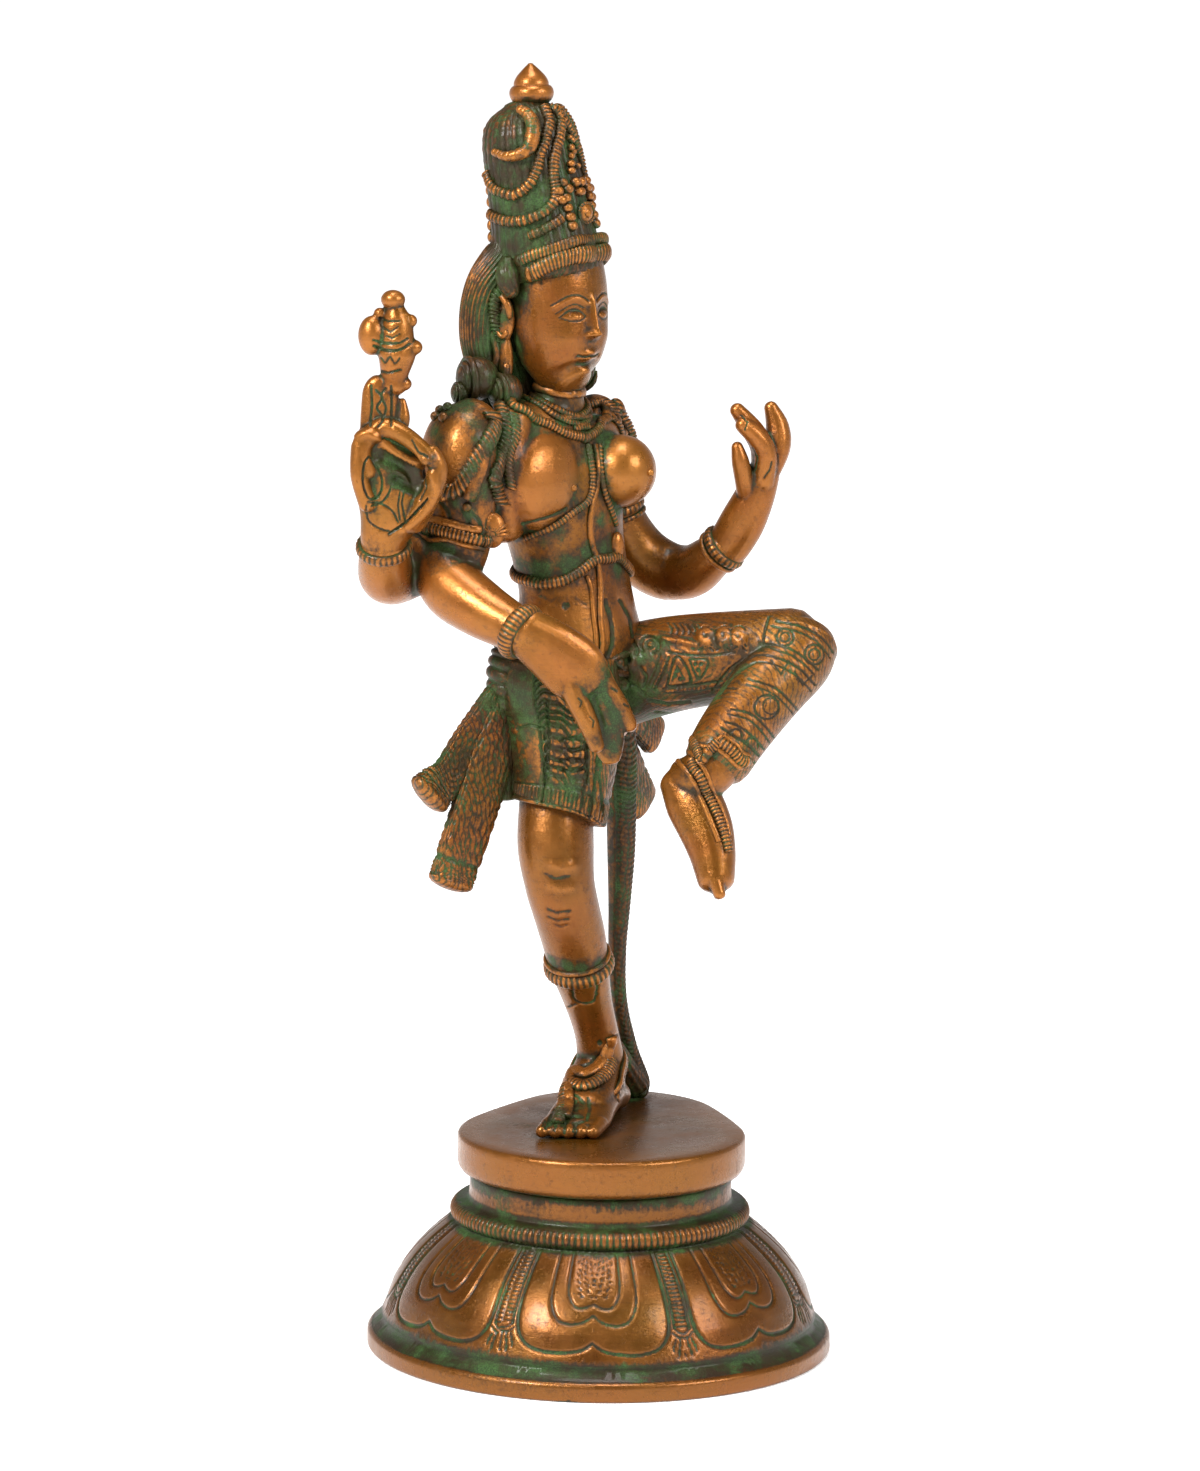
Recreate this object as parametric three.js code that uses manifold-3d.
// Dancing four-armed figure on a round lotus plinth, cast in brass, 13 inches tall.
// Millimetres, +Z up. The origin is the centre of the plinth's flat underside, and the figure faces -Y.
import * as THREE from 'three';
import Module from 'manifold-3d';

const wasm = await Module();
wasm.setup();

// Plinth sizes
const rimRadius = 60;
const rimHeight = 4.6;
const bellFoot = { radius: 56.2, z: 8.6 };
const bellTop = { radius: 38.4, z: 33.2 };
const bellBulge = 2.2;
const ringTube = 2.5;
const neckRadius = 33.8;
const neckTop = 46;
const petalCount = 7;
const petalStepsAround = 8;
const petalFirst = -116.3;
const stemHalfWidth = 3;
const stemDepth = 0.7;
const petalInset = 0.4;

// Foot slab sizes
const seamGap = 0.3;
const slabRadius = 37.2;
const slabTop = 56.4;
const slabLip = { inset: 2.2, height: 2 };
const slabNose = { x: 20, y: 13, radius: 27.5 };

// Figure directions
const forward = [0, -1, 0];
const upward = [0, 0, 1];
const palmOut = [-0.766, -0.643, 0];

// Head place, turn and size
const headCentre = [0.4, 18.6, 264];
const headTurn = 8;
const headLean = 2;

// Crown axis and the half widths up it: [part, side, front, back]. The two widest rows are the brow bands.
const crownFoot = [-1, 20.8, 277];
const crownHead = [-3.6, 27.2, 319];
const crownProfile = [
  [-0.08, 13.6, 13.8, 13.8],
  [-0.01, 15.6, 16.2, 16],
  [0.06, 13.8, 14, 14.2],
  [0.12, 15, 15.4, 15.4],
  [0.22, 13.4, 13.2, 13.6],
  [0.42, 12.9, 12, 13],
  [0.62, 12.4, 11, 13],
  [0.82, 11.8, 9.8, 12.8],
  [0.94, 9.6, 8, 10.6],
  [1.01, 6, 5.6, 6],
];

// A closed body with elliptical sections along a path, domed at both ends. Each station of the path is
// [x, y, z, half width, half front, half back].
function limb(path, { front = forward, sides = 8, dome = 0.7, startRings = 0, endRings = 0, bulge = 0 } = {}) {
  const stations = path.map((p) => [p[0], p[1], p[2], p[3], p[4] ?? p[3], p[5] ?? p[4] ?? p[3]]);
  const centres = stations.map((s) => new THREE.Vector3(s[0], s[1], s[2]));
  const frontVector = new THREE.Vector3(...front);
  const rings = [];
  const frameAt = (index) => {
    const ahead = centres[Math.min(index + 1, centres.length - 1)];
    const behind = centres[Math.max(index - 1, 0)];
    const along = ahead.clone().sub(behind).normalize();
    const face = frontVector.clone().addScaledVector(along, -frontVector.dot(along)).normalize();
    const side = face.clone().cross(along).normalize();
    return { along, face, side };
  };
  const addRing = (centre, frame, scale, station) => {
    const ring = [];
    for (let k = 0; k < sides; k += 1) {
      const angle = (2 * Math.PI * k) / sides;
      const c = Math.cos(angle);
      const s = Math.sin(angle);
      const depth = s > 0 ? station[4] : station[5];
      const swell = 1 + bulge * Math.abs(Math.sin(2 * angle));
      ring.push(centre.clone()
        .addScaledVector(frame.side, c * station[3] * scale * swell)
        .addScaledVector(frame.face, s * depth * scale * swell));
    }
    rings.push(ring);
  };
  const last = stations.length - 1;
  const capAt = (index, sign, capRings) => {
    const frame = frameAt(index);
    const reach = dome * Math.min(stations[index][3], stations[index][4]);
    const order = [];
    for (let j = 1; j <= capRings; j += 1) {
      order.push(j);
    }
    if (sign < 0) {
      order.reverse();
    }
    for (const j of order) {
      const lift = (0.5 * Math.PI * j) / (capRings + 1);
      const centre = centres[index].clone().addScaledVector(frame.along, sign * reach * Math.sin(lift));
      addRing(centre, frame, Math.cos(lift), stations[index]);
    }
    return centres[index].clone().addScaledVector(frame.along, sign * reach);
  };
  const startTip = capAt(0, -1, startRings);
  for (let i = 0; i <= last; i += 1) {
    addRing(centres[i], frameAt(i), 1, stations[i]);
  }
  const endTip = capAt(last, 1, endRings);
  return closedRings(rings, startTip, endTip);
}

// Joins rings of points into a solid, with a point at each end.
function closedRings(rings, startTip, endTip) {
  const sides = rings[0].length;
  const points = rings.flat();
  const faces = [];
  for (let i = 0; i < rings.length - 1; i += 1) {
    for (let k = 0; k < sides; k += 1) {
      const next = (k + 1) % sides;
      const a = i * sides + k;
      const b = i * sides + next;
      faces.push([a, b, b + sides], [a, b + sides, a + sides]);
    }
  }
  const startIndex = points.length;
  points.push(startTip, endTip);
  const top = (rings.length - 1) * sides;
  for (let k = 0; k < sides; k += 1) {
    const next = (k + 1) % sides;
    faces.push([startIndex, next, k], [startIndex + 1, top + k, top + next]);
  }
  return solidFrom(points, faces);
}

// A solid from points and faces, turned right side out.
function solidFrom(points, faces) {
  let volume = 0;
  for (const [a, b, c] of faces) {
    volume += points[a].dot(points[b].clone().cross(points[c]));
  }
  const order = volume < 0 ? faces.map(([a, b, c]) => [a, c, b]) : faces;
  const vertProperties = new Float32Array(points.flatMap((p) => [p.x, p.y, p.z]));
  const triVerts = new Uint32Array(order.flat());
  return new wasm.Manifold(new wasm.Mesh({ numProp: 3, vertProperties, triVerts }));
}

function join(solids) {
  return solids.reduce((sum, solid) => sum.add(solid));
}

// An ellipsoid with its own axes.
function pebble(centre, radii, { sides = 7, rows = 4, turn = [0, 0, 0] } = {}) {
  const matrix = new THREE.Matrix4().compose(
    new THREE.Vector3(...centre),
    new THREE.Quaternion().setFromEuler(new THREE.Euler(...turn.map(THREE.MathUtils.degToRad), 'ZYX')),
    new THREE.Vector3(...radii),
  );
  const rings = [];
  for (let i = 1; i < rows; i += 1) {
    const lift = (Math.PI * i) / rows;
    const ring = [];
    for (let k = 0; k < sides; k += 1) {
      const angle = (2 * Math.PI * k) / sides;
      ring.push(new THREE.Vector3(
        Math.sin(lift) * Math.cos(angle),
        Math.sin(lift) * Math.sin(angle),
        -Math.cos(lift),
      ).applyMatrix4(matrix));
    }
    rings.push(ring);
  }
  return closedRings(rings, new THREE.Vector3(0, 0, -1).applyMatrix4(matrix),
    new THREE.Vector3(0, 0, 1).applyMatrix4(matrix));
}

// A hoop of even thickness round a limb: centre, axis, the two half widths and the cord's radius.
function hoop(centre, axis, halfSide, halfFront, tube, { front = forward, sides = 12, tubeSides = 3 } = {}) {
  const along = new THREE.Vector3(...axis).normalize();
  const frontVector = new THREE.Vector3(...front);
  const face = frontVector.addScaledVector(along, -frontVector.dot(along)).normalize();
  const side = face.clone().cross(along).normalize();
  const middle = new THREE.Vector3(...centre);
  const points = [];
  const faces = [];
  for (let i = 0; i < sides; i += 1) {
    const angle = (2 * Math.PI * i) / sides;
    const outward = side.clone().multiplyScalar(Math.cos(angle)).addScaledVector(face, Math.sin(angle));
    const seat = middle.clone()
      .addScaledVector(side, Math.cos(angle) * halfSide)
      .addScaledVector(face, Math.sin(angle) * halfFront);
    for (let k = 0; k < tubeSides; k += 1) {
      const roll = (2 * Math.PI * k) / tubeSides;
      points.push(seat.clone()
        .addScaledVector(outward, Math.cos(roll) * tube)
        .addScaledVector(along, Math.sin(roll) * tube));
      const nextI = ((i + 1) % sides) * tubeSides;
      const nextK = (k + 1) % tubeSides;
      const here = i * tubeSides;
      faces.push([here + k, nextI + k, nextI + nextK], [here + k, nextI + nextK, here + nextK]);
    }
  }
  return solidFrom(points, faces);
}

// A flat plate with a convex outline, made level by level.
function plate(outline, levels) {
  const rings = levels.map(({ z, inset }) => outline(inset).map(([x, y]) => new THREE.Vector3(x, y, z)));
  const low = new THREE.Vector3(0, 0, levels[0].z);
  const high = new THREE.Vector3(0, 0, levels[levels.length - 1].z);
  return closedRings(rings, low, high);
}

function footSlab() {
  const sides = 28;
  const outline = (inset) => {
    const ring = [];
    for (let k = 0; k < sides; k += 1) {
      const angle = (2 * Math.PI * k) / sides;
      const nx = Math.cos(angle);
      const ny = Math.sin(angle);
      const reach = nx * slabNose.x + ny * slabNose.y + slabNose.radius;
      const nose = reach > slabRadius;
      const radius = (nose ? slabNose.radius : slabRadius) - inset;
      ring.push([nx * radius + (nose ? slabNose.x : 0), ny * radius + (nose ? slabNose.y : 0)]);
    }
    return ring;
  };
  const bottom = neckTop + seamGap;
  return plate(outline, [
    { z: bottom, inset: slabLip.inset },
    { z: bottom + slabLip.height, inset: 0 },
    { z: slabTop - 0.4, inset: 0 },
    { z: slabTop, inset: 0.4 },
  ]);
}

// Torso, neck and both breasts.
function torso() {
  return [
    limb([
      [7.5, 16.5, 160, 17, 12, 12],
      [7, 16.5, 172, 21.5, 15.5, 16],
      [6, 16.5, 184, 19.5, 15.5, 13.5],
      [5.5, 16.5, 195, 17.2, 12.6, 11.5],
      [5, 17.4, 200.8, 17, 12.2, 11.8],
      [4.7, 17.7, 203, 18.8, 13.8, 13.2],
      [4.5, 18, 205.2, 17.2, 12.2, 12],
      [3, 19, 217, 19.6, 12.5, 13],
      [1.8, 19.8, 227, 22, 12, 13.5],
      [1, 20.4, 235, 22.6, 10, 12],
      [1.2, 20.3, 241.5, 14, 7.4, 8.4],
      [1.5, 19.2, 246.4, 6.2, 5.9, 6],
      [1.3, 18.9, 248.4, 7.6, 7.2, 7],
      [1, 19, 250.4, 6, 5.8, 6],
      [1, 19, 255, 6, 5.8, 6],
    ], { sides: 12 }),
    pebble([13.6, 8.4, 226], [9.2, 9.2, 9.2], { sides: 9, rows: 6 }),
    pebble([-8, 10.8, 225.5], [11, 6, 10.5], { sides: 8, rows: 4 }),
  ];
}

// Skull, jaw, nose, lips, eyes and ears in the head's own frame, then turned into place.
function head() {
  const parts = [
    limb([
      [0, -5, -15, 4.2, 5.5, 6],
      [0, -2.5, -12, 8.6, 8.8, 8],
      [0, -0.5, -6, 12, 12, 11],
      [0, 0, 1, 13.2, 13.2, 13],
      [0, 0.5, 9, 13, 13, 13.5],
      [0, 1, 15, 12.4, 12, 13],
    ], { sides: 12, dome: 0.4 }),
    limb([[0, -12.6, 5, 1, 0.8], [0, -14, -3, 2.1, 1.5]], { sides: 4 }),
    pebble([0, -12, -7.4], [3.4, 1.8, 1.6], { sides: 5, rows: 3 }),
    pebble([0, -9.8, -12.4], [3.4, 2.6, 2.6], { sides: 5, rows: 3 }),
  ];
  for (const side of [-1, 1]) {
    parts.push(limb([[side * 13.6, 4, 5.5, 3.4, 1.6], [side * 14, 4.4, -3, 2.6, 1.6],
      [side * 13.6, 4, -14, 2.4, 1.8]], { sides: 5, front: [side, 0, 0] }));
    parts.push(pebble([side * 4.9, -11.2, 2], [3, 1.6, 1.3], { sides: 4, rows: 3 }));
  }
  const solid = join(parts);
  const place = new THREE.Matrix4().compose(
    new THREE.Vector3(...headCentre),
    new THREE.Quaternion().setFromEuler(new THREE.Euler(
      THREE.MathUtils.degToRad(-headLean), 0, THREE.MathUtils.degToRad(headTurn), 'ZYX')),
    new THREE.Vector3(1, 1, 1),
  );
  return [solid.transform(place.elements)];
}

// Hair that hangs behind the head and curls on the shoulders.
function hair() {
  return [
    limb([
      [-1, 27, 284, 13.5, 8, 8.5],
      [-1.4, 28.5, 273, 17.4, 9, 9.5],
      [-1.4, 29.2, 262, 18.4, 8, 10],
      [0, 28.6, 252, 16.4, 7, 8],
      [1, 28, 244, 17, 5, 6],
    ], { sides: 10, endRings: 1 }),
    pebble([-19.5, 27, 248.5], [5.4, 5.5, 5]),
    pebble([-15.5, 22.5, 246], [5, 5.5, 5.5]),
    pebble([19, 28, 248], [5, 5.5, 5]),
  ];
}

// Tall crown of piled hair with its bands, loops, crescent and knob.
function crown() {
  const foot = new THREE.Vector3(...crownFoot);
  const along = new THREE.Vector3(...crownHead).sub(foot);
  const axisPoint = (t) => foot.clone().addScaledVector(along, t);
  // A point on the crown's skin: part of the height, degrees round from the front to the right, and lift
  const skin = (t, degrees, lift) => {
    const last = crownProfile.length - 2;
    let i = 0;
    while (i < last && crownProfile[i + 1][0] < t) {
      i += 1;
    }
    const [low, high] = [crownProfile[i], crownProfile[i + 1]];
    const part = (t - low[0]) / (high[0] - low[0]);
    const [side, front, back] = [1, 2, 3].map((k) => low[k] + (high[k] - low[k]) * part + lift);
    const angle = THREE.MathUtils.degToRad(degrees);
    const p = axisPoint(t);
    const depth = Math.cos(angle) > 0 ? front : back;
    return [p.x - Math.sin(angle) * side, p.y - Math.cos(angle) * depth, p.z];
  };
  const parts = [
    limb(crownProfile.map(([t, side, front, back]) => [...axisPoint(t).toArray(), side, front, back]),
      { sides: 12, dome: 0.25 }),
    limb([[-2.6, 25.8, 317, 4.1], [-2.7, 26, 320, 4.2], [-2.7, 26.1, 322, 5.4], [-2.8, 26.3, 324, 5.1],
      [-2.9, 26.4, 327, 3.2], [-2.9, 26.5, 329.2, 1.2]], { sides: 8, dome: 0.6 }),
  ];
  const innerLoop = [[25, 0.92], [26, 0.7], [52, 0.48], [108, 0.5]];
  const outerLoop = [[12, 0.88], [14, 0.58], [38, 0.34], [112, 0.34]];
  for (const side of [-1, 1]) {
    for (const loop of [innerLoop, outerLoop]) {
      parts.push(limb(loop.map(([degrees, t]) => [...skin(t, side * degrees, 0.3), 1.5]), { sides: 3 }));
    }
  }
  const moonSpan = 242;
  const moonSteps = 5;
  const moonRadius = 4.4;
  const moon = [];
  for (let k = 0; k <= moonSteps; k += 1) {
    const turn = 103 - (moonSpan * k) / moonSteps;
    const across = moonRadius * Math.cos(THREE.MathUtils.degToRad(turn));
    const rise = moonRadius * Math.sin(THREE.MathUtils.degToRad(turn));
    const thick = 0.9 + 0.5 * Math.sin((Math.PI * k) / moonSteps);
    moon.push([...skin(0.835 + rise / along.z, 63 - across * 4.9, 0.8), thick]);
  }
  parts.push(limb(moon, { sides: 3 }));
  parts.push(pebble(skin(0.3, 3, 0.4), [3.2, 1.9, 3.2], { sides: 6, rows: 3 }));
  parts.push(pebble(skin(0.44, 0, 0.8), [1.6, 2, 1.6], { sides: 4, rows: 3 }));
  for (const t of [0.6, 0.76]) {
    parts.push(pebble(skin(t, 0, 0.4), [1.7, 1.4, 2.6], { sides: 4, rows: 3 }));
  }
  return parts;
}

// The two right arms share one broad upper arm and part at the elbow.
function rightArms() {
  return [
    limb([
      [-24, 24.5, 241, 6, 7],
      [-28, 25.5, 236.5, 8.6, 10],
      [-30, 25.5, 228, 8.8, 11.2],
      [-30.5, 25.5, 217.4, 7.9, 11.4],
      [-30.7, 25.6, 214.6, 9.2, 12.8],
      [-31.2, 25.7, 211.8, 7.6, 11.3],
      [-33, 27, 203.5, 7, 10.6],
    ], { sides: 10 }),
    limb([[-34, 27, 204, 8.4], [-36.5, 20.5, 199, 8.2], [-37, 11.5, 195, 7.4], [-36.4, 1.6, 191.3, 6.4],
      [-36.2, -0.8, 190.6, 8], [-36, -3.2, 190, 6.2]], { startRings: 1 }),
    limb([[-34.5, 31, 206, 8], [-39.5, 36.8, 202, 7.9], [-44.5, 35.8, 202, 7.5], [-50.8, 31.6, 208, 6.4],
      [-52, 30.4, 210.4, 7.8], [-53, 29.4, 212.4, 6.2]], { startRings: 1 }),
  ];
}

function leftArm() {
  return [
    limb([[22.5, 25.5, 238.5, 6.5], [26.5, 27, 231.5, 8.2], [28.6, 26.7, 221, 7.8], [30.8, 25.8, 214, 8.6],
      [32, 25, 211, 7.4], [37.2, 21.5, 201.5, 8], [41.2, 15.5, 197, 8], [42.5, 8, 197.5, 7],
      [42.3, 1.2, 201.7, 6], [42.4, -0.6, 203.2, 7.4], [42.8, -3, 205, 5.4]], { startRings: 1 }),
  ];
}

function finger(path) {
  return limb(path, { sides: 4, dome: 0.9, front: palmOut, bulge: 0.1 });
}

function hands() {
  return [
    // Back right hand, palm to the viewer, holding the axe
    limb([[-53.5, 29, 213.5, 6.2, 5], [-53.5, 27, 219.5, 8.2, 4.6], [-54, 26.3, 226.5, 8.8, 4],
      [-55, 27, 233, 8.4, 3.4], [-55.8, 28, 237.5, 6.4, 2.6]], { front: palmOut, sides: 6 }),
    finger([[-60, 29, 230, 2.4], [-61, 30, 235, 2.5], [-59, 29, 239, 2.5], [-57, 26.5, 241, 2.5],
      [-54.5, 21.5, 239, 2.4], [-51.5, 16.5, 234.5, 2.1]]),
    finger([[-60, 29, 222, 2.4], [-62, 30, 229, 2.3], [-61.5, 30.5, 236, 2.2]]),
    finger([[-51, 21.5, 217.5, 3.4], [-49.8, 17.5, 224, 3], [-49.3, 15, 230.5, 2.5], [-50.6, 16, 235, 2]]),
    // Front right hand, hanging
    limb([[-36, -2.5, 190.5, 5.2, 6.4], [-31.5, -7.5, 186, 4.6, 7.6], [-26.8, -12, 180, 4, 8],
      [-23.5, -14.6, 175, 3.4, 7]], { sides: 6, front: [0.4, -0.47, 0.78] }),
    finger([[-22.5, -15, 179, 3], [-17.5, -18.5, 175, 2.8], [-15, -20.5, 169, 2.4], [-15, -21, 164.5, 1.8]]),
    finger([[-22, -14.5, 175.5, 2.8], [-19.5, -16.5, 171, 2.6], [-17.8, -18, 165, 2]]),
    finger([[-25, -13.5, 174, 2.8], [-22.5, -16, 169.5, 2.5], [-20.8, -17.5, 163, 1.9]]),
    finger([[-29, -10.5, 177, 3.2], [-26, -14.5, 170.5, 2.8], [-24, -16.8, 165.5, 2.5], [-23, -17.5, 160, 1.8]]),
    // Left hand, raised, fingers closing on the thumb
    limb([[43, -3.5, 205, 4.8, 5.6], [44, -6.8, 211.5, 4.6, 6.6], [45, -9.3, 218.5, 4.2, 6.2],
      [46.2, -11.2, 224.5, 3.6, 5.2]], { sides: 6, front: [0.58, -0.69, -0.45] }),
    finger([[42.8, -9, 215.5, 2.6], [40.5, -10, 222, 2.5], [38.6, -10, 228, 2.2], [38, -9.5, 231.5, 1.7]]),
    finger([[46, -11.8, 225, 2.7], [45, -12.3, 232, 2.6], [42.5, -10.8, 237, 2.4], [39.5, -8.2, 241.5, 1.7]]),
    finger([[44.6, -12.8, 223, 2.6], [44, -14.4, 230, 2.5], [41.6, -13.4, 234.5, 2.3], [38.8, -11, 237, 1.9]]),
    finger([[47, -12.2, 225.5, 2.8], [50, -13.6, 232.5, 3.1], [50.2, -13, 237.5, 2.6], [49, -11.8, 241.5, 1.6]]),
  ];
}

// Small axe that stands between the fingers of the back right hand.
function axe() {
  return [
    limb([[-56, 29.3, 238, 5.4, 2.6], [-55.8, 29.2, 244, 5.4, 2.8], [-54.8, 28.2, 249.5, 4, 2.8],
      [-53.6, 26.6, 252.5, 2.6, 2.6]], { front: palmOut, sides: 6, dome: 0.3 }),
    limb([[-53.6, 26.6, 251, 2], [-53.2, 26.2, 257, 4], [-53, 26, 261.5, 4.4], [-53, 26, 266, 3.8],
      [-53.5, 26.5, 270.4, 2.2], [-53.7, 26.7, 273.4, 2.9]], { sides: 6 }),
    pebble([-57.2, 30.9, 264.2], [3.4, 3.4, 4.9], { sides: 5 }),
    pebble([-50.6, 22.8, 262], [2.3, 2.3, 2.2], { sides: 4, rows: 3 }),
  ];
}

// Standing right leg with its short cloth and foot.
function standingLeg() {
  return [
    limb([
      [-4.6, 13, 141.5, 9.6, 9.4],
      [-7.2, 10.8, 131, 10, 9.6],
      [-7.2, 9.2, 121, 8.8, 9],
      [-4.4, 9.2, 113.5, 8.5, 8.7],
      [-0.4, 10, 105.5, 8.1, 8.5],
      [1.8, 10.6, 101, 7.5, 8],
      [3, 11, 98.6, 9.2, 9.6],
      [4.4, 11.4, 95.8, 7, 7.6],
      [9, 12.6, 87, 5.9, 6.4],
      [13.4, 13.6, 78.5, 5.6, 6],
      [15.2, 14, 73, 5.8, 6.2],
      [16, 14.3, 70, 7.6, 8],
      [16.8, 14.7, 66.6, 6.4, 6.6],
      [17.5, 15, 61, 6.4, 6.4],
    ], { sides: 9 }),
    limb([[0.5, 15.5, 172, 20, 16], [-0.5, 14.5, 162, 17.5, 15], [-2.5, 13, 150, 14.4, 13.6],
      [-3.6, 12, 143, 13.2, 12.8], [-4, 12.4, 140.8, 14.2, 13.8], [-4.4, 12.8, 138.8, 13, 12.6]],
    { sides: 12, dome: 0.05 }),
    // Foot: sole from heel to toes, and instep
    limb([[22.5, 16.5, 60, 6, 4.6], [15, 13.5, 61.5, 6.8, 5.4], [4, 8.6, 60.6, 8, 4.8], [-4.5, 4.2, 59.2, 8.6, 3.4],
      [-10, 1.8, 58.4, 8.2, 2.6]], { front: upward, sides: 6, startRings: 1 }),
    limb([[15.5, 14.2, 69, 6.4, 5.8], [0, 6.8, 62, 6.6, 3.6]], { front: upward, sides: 6 }),
    ...[-6.4, -3.1, 0, 3.1, 6.2].map((across, k) => finger([
      [-9 + 0.398 * across, 2.2 - 0.917 * across, 58.7, 2],
      [-15.6 + 0.8 * k + 0.398 * across, -0.6 + 0.3 * k - 0.917 * across, 58, 1.7],
    ])),
  ];
}

// Raised left leg in patterned cloth, knee forward and shin crossing the body.
function raisedLeg() {
  return [
    limb([
      [15, 20, 168, 14, 14],
      [20, 8, 173, 12.8, 13],
      [23.4, -8, 177.2, 12, 12.4],
      [28, -26, 180.6, 11.2, 11.4],
      [32.4, -35.4, 181.8, 10.8, 10.8],
      [28.8, -37.8, 177.8, 10.4, 10.4],
      [21, -35.5, 172, 10, 10.2],
      [11.4, -33.6, 163.6, 9.3, 9.5],
      [6.6, -33.2, 159.5, 8.6, 8.8],
      [5.2, -33, 158.3, 9.8, 10],
      [4, -33, 157, 8.4, 8.6],
    ], { sides: 10, front: [1, 0, 0.3] }),
    limb([[6, -33, 158.5, 7.6], [1.5, -31.8, 154.4, 7], [-0.4, -30.6, 151.2, 8.4], [-1.4, -29, 148.6, 6]], { sides: 7 }),
    // Foot, hanging from the ankle
    limb([[-2, -25.5, 151.5, 4.8, 5.4], [-2, -30, 146.8, 5.4, 7.2], [-2.4, -34.6, 140.6, 5.4, 7],
      [-3, -37.6, 134.4, 5.6, 6], [-4.2, -39.9, 128, 5.4, 4.8]],
    { front: [0.64, -0.77, 0.3], sides: 6, startRings: 1 }),
    ...[-4, -2, 0, 2, 4].map((across) => finger([
      [-4.3 + 0.7 * across, -39.8 + 0.62 * across, 128, 1.9],
      [-4.6 + 0.7 * across, -41.6 + 0.62 * across, 123.8 + 0.2 * Math.abs(across), 1.6],
    ])),
  ];
}

function ribbon(path, front) {
  return limb(path, { front, sides: 6, dome: 0.5, bulge: 0.12 });
}

// Hip knots and the sash ends that fly out to both sides.
function sashes() {
  const rightFace = [-0.35, -0.94, 0.1];
  const leftFace = [0.1, -1, 0.1];
  return [
    pebble([-14.6, 21.5, 174.5], [4.8, 5.6, 9.5], { sides: 6, rows: 4 }),
    pebble([26, 20.5, 171.5], [4.8, 5.6, 9.5], { sides: 6, rows: 4 }),
    ribbon([[-14.5, 22, 170, 5.4, 2.6], [-23.5, 25, 158, 5.8, 2.2], [-30.5, 26.6, 150, 5.2, 2.3],
      [-36.6, 28.8, 145, 5.8, 3]], rightFace),
    ribbon([[-13, 21, 168, 6, 2.8], [-19.5, 22, 154.5, 6.8, 2.4], [-24.5, 22.5, 143, 6.6, 2.4],
      [-32.4, 24.4, 122.4, 6, 2.6]], rightFace),
    ribbon([[-11, 21.5, 166, 6, 3], [-15.5, 21.5, 153, 6, 2.6], [-16.8, 21, 143.5, 4.6, 2]], rightFace),
    ribbon([[24, 20, 172, 5, 2.4], [34, 21.5, 161.5, 5.4, 2.3], [46, 22.8, 152, 5.2, 2.6]], leftFace),
    ribbon([[22, 20.5, 166, 5.8, 2.6], [32, 22.5, 150, 6.2, 2.3], [44.4, 25, 134, 5.8, 2.6]], leftFace),
  ];
}

// Plaited strand that falls behind the leg to a leaf on the slab.
function strut() {
  return [
    limb([[23.5, 17.5, 166, 4.6, 3.4], [26, 17.2, 150, 4.3, 3], [28, 18.2, 124, 3.7, 2.6],
      [29.2, 20, 97, 2.3, 2], [31, 20.6, 83.5, 2, 1.8], [34.5, 20.2, 70.5, 2.4, 2],
      [37, 19.4, 61, 3.6, 2.4], [38, 19, 56.6, 2.6, 2]], { sides: 5, front: [0.77, 0.64, 0] }),
    limb([[27, 18.5, 72, 2.2, 2], [31.5, 19.6, 66, 3.4, 2.6], [36.5, 19, 59, 4, 2.6]],
      { sides: 4, front: [0.77, 0.64, 0] }),
  ];
}

// Necklaces, belt, armband jewel, hanging cord, thread and locks of hair on the shoulder.
function jewellery() {
  return [
    hoop([1.8, 16.8, 241.4], [0, -0.5, 0.87], 11.2, 10.2, 1.5),
    hoop([2, 15.4, 238.4], [0, -0.55, 0.84], 14.2, 12.4, 1.5),
    hoop([7, 16.6, 175.8], [0.12, -0.22, 0.97], 22.4, 17, 1.9),
    pebble([-27.5, 14.4, 213], [4.4, 3, 5], { sides: 6, turn: [0, 0, -25] }),
    pebble([7.5, 4.6, 208.6], [2.3, 1.8, 3], { sides: 4, rows: 3 }),
    limb([[5.2, 5, 236, 1.1], [5.6, 4.6, 225, 1.1], [5.6, 4.6, 202, 1.2], [6.4, 1.2, 180, 1.4]], { sides: 3 }),
    limb([[2.4, 6, 237, 1.1], [3.4, 5.2, 226, 1.1], [-5, 6.2, 213.4, 1.1], [-16, 16, 206.8, 1]], { sides: 3 }),
    limb([[-19, 19.5, 242, 1.6], [-21.4, 13.4, 234, 1.8], [-21, 13.4, 219, 1.5]], { sides: 4 }),
    limb([[-21, 20, 243, 1.8], [-28, 15, 232, 2], [-34, 17.4, 220.5, 1.6]], { sides: 4 }),
  ];
}

function figure() {
  return join([
    footSlab(),
    ...torso(),
    ...head(),
    ...hair(),
    ...crown(),
    ...rightArms(),
    ...leftArm(),
    ...hands(),
    ...axe(),
    ...standingLeg(),
    ...raisedLeg(),
    ...sashes(),
    ...strut(),
    ...jewellery(),
  ]);
}

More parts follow.
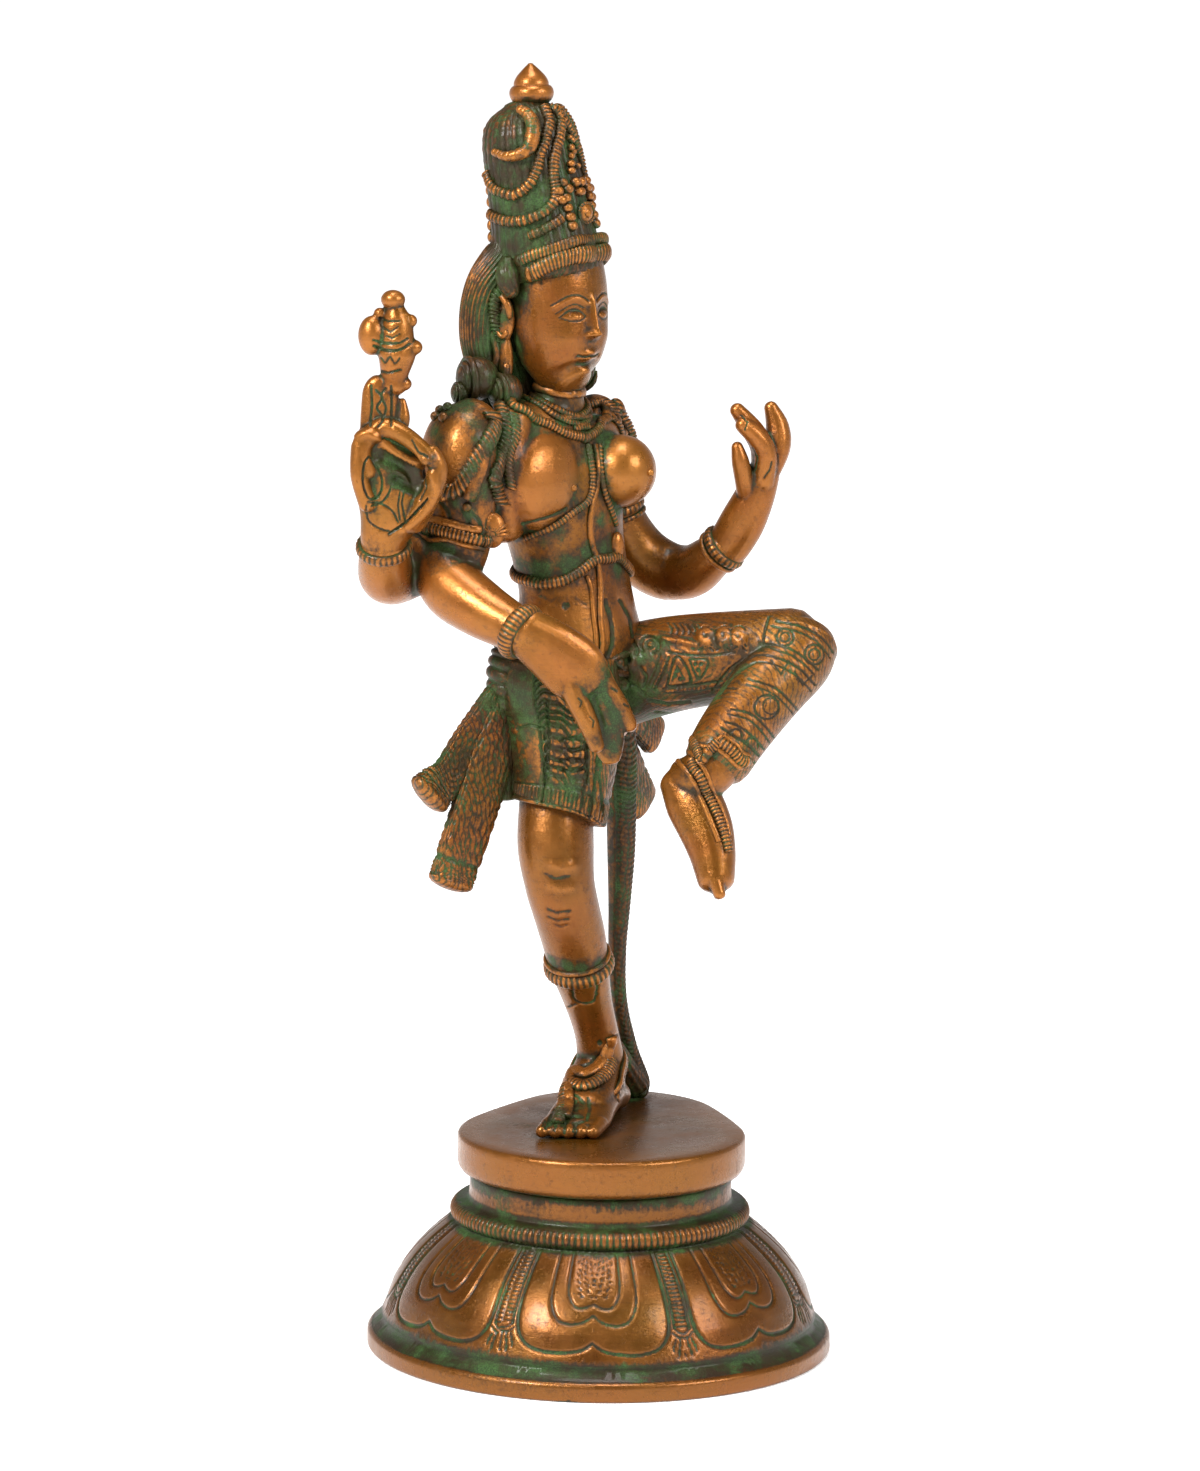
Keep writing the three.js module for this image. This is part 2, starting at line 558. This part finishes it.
// Turned plinth: bell with engraved petals, corded ring, neck and rim, all one casting.
function plinth() {
  const around = petalCount * petalStepsAround;
  const bellRows = 5;
  const profile = [
    { r: rimRadius, z: 0 },
    { r: rimRadius, z: rimHeight - 0.6 },
    { r: rimRadius - 0.8, z: rimHeight + 0.4 },
    { r: bellFoot.radius - 0.7, z: bellFoot.z - 0.5 },
  ];
  for (let i = 0; i <= bellRows; i += 1) {
    const t = i / bellRows;
    const bow = Math.sin(Math.PI * t) * bellBulge;
    profile.push({
      r: bellFoot.radius + (bellTop.radius - bellFoot.radius) * t + bow * 0.9,
      z: bellFoot.z + (bellTop.z - bellFoot.z) * t + bow * 0.75,
      petal: t,
    });
  }
  const ringZ = bellTop.z + ringTube + 0.2;
  for (const lift of [-55, 0, 55]) {
    const turn = THREE.MathUtils.degToRad(lift);
    profile.push({
      r: bellTop.radius - ringTube + 0.4 + ringTube * Math.cos(turn),
      z: ringZ + ringTube * Math.sin(turn),
    });
  }
  profile.push({ r: neckRadius, z: ringZ + ringTube });
  profile.push({ r: neckRadius, z: neckTop });
  const rings = profile.map(({ r, z, petal }) => {
    const ring = [];
    for (let k = 0; k < around; k += 1) {
      const angle = THREE.MathUtils.degToRad(petalFirst) + (2 * Math.PI * k) / around;
      const step = k % petalStepsAround;
      const fromStem = Math.min(step, petalStepsAround - step) * ((2 * Math.PI) / around) * r;
      let radius = r;
      if (petal !== undefined && petal > 0 && petal < 1) {
        radius -= fromStem < stemHalfWidth ? stemDepth * Math.sin(Math.PI * petal) : 0;
        radius -= petal > 0.85 ? petalInset : 0;
      }
      ring.push(new THREE.Vector3(radius * Math.cos(angle), radius * Math.sin(angle), z));
    }
    return ring;
  });
  return closedRings(rings, new THREE.Vector3(0, 0, 0), new THREE.Vector3(0, 0, neckTop));
}

function meshOf(name, solid, color) {
  const { vertProperties, triVerts, numProp } = solid.getMesh();
  const count = vertProperties.length / numProp;
  const position = new Float32Array(count * 3);
  for (let i = 0; i < count; i += 1) {
    for (let k = 0; k < 3; k += 1) {
      position[i * 3 + k] = vertProperties[i * numProp + k];
    }
  }
  const geometry = new THREE.BufferGeometry();
  geometry.setAttribute('position', new THREE.BufferAttribute(position, 3));
  geometry.setIndex(new THREE.BufferAttribute(new Uint32Array(triVerts), 1));
  const mesh = new THREE.Mesh(geometry, new THREE.MeshStandardMaterial({
    color, roughness: 0.38, metalness: 1, flatShading: true,
  }));
  mesh.name = name;
  return mesh;
}

const group = new THREE.Group();
group.add(meshOf('figure', figure(), 0xa8683a));
group.add(meshOf('lotus_plinth', plinth(), 0x9c6336));

export default group;
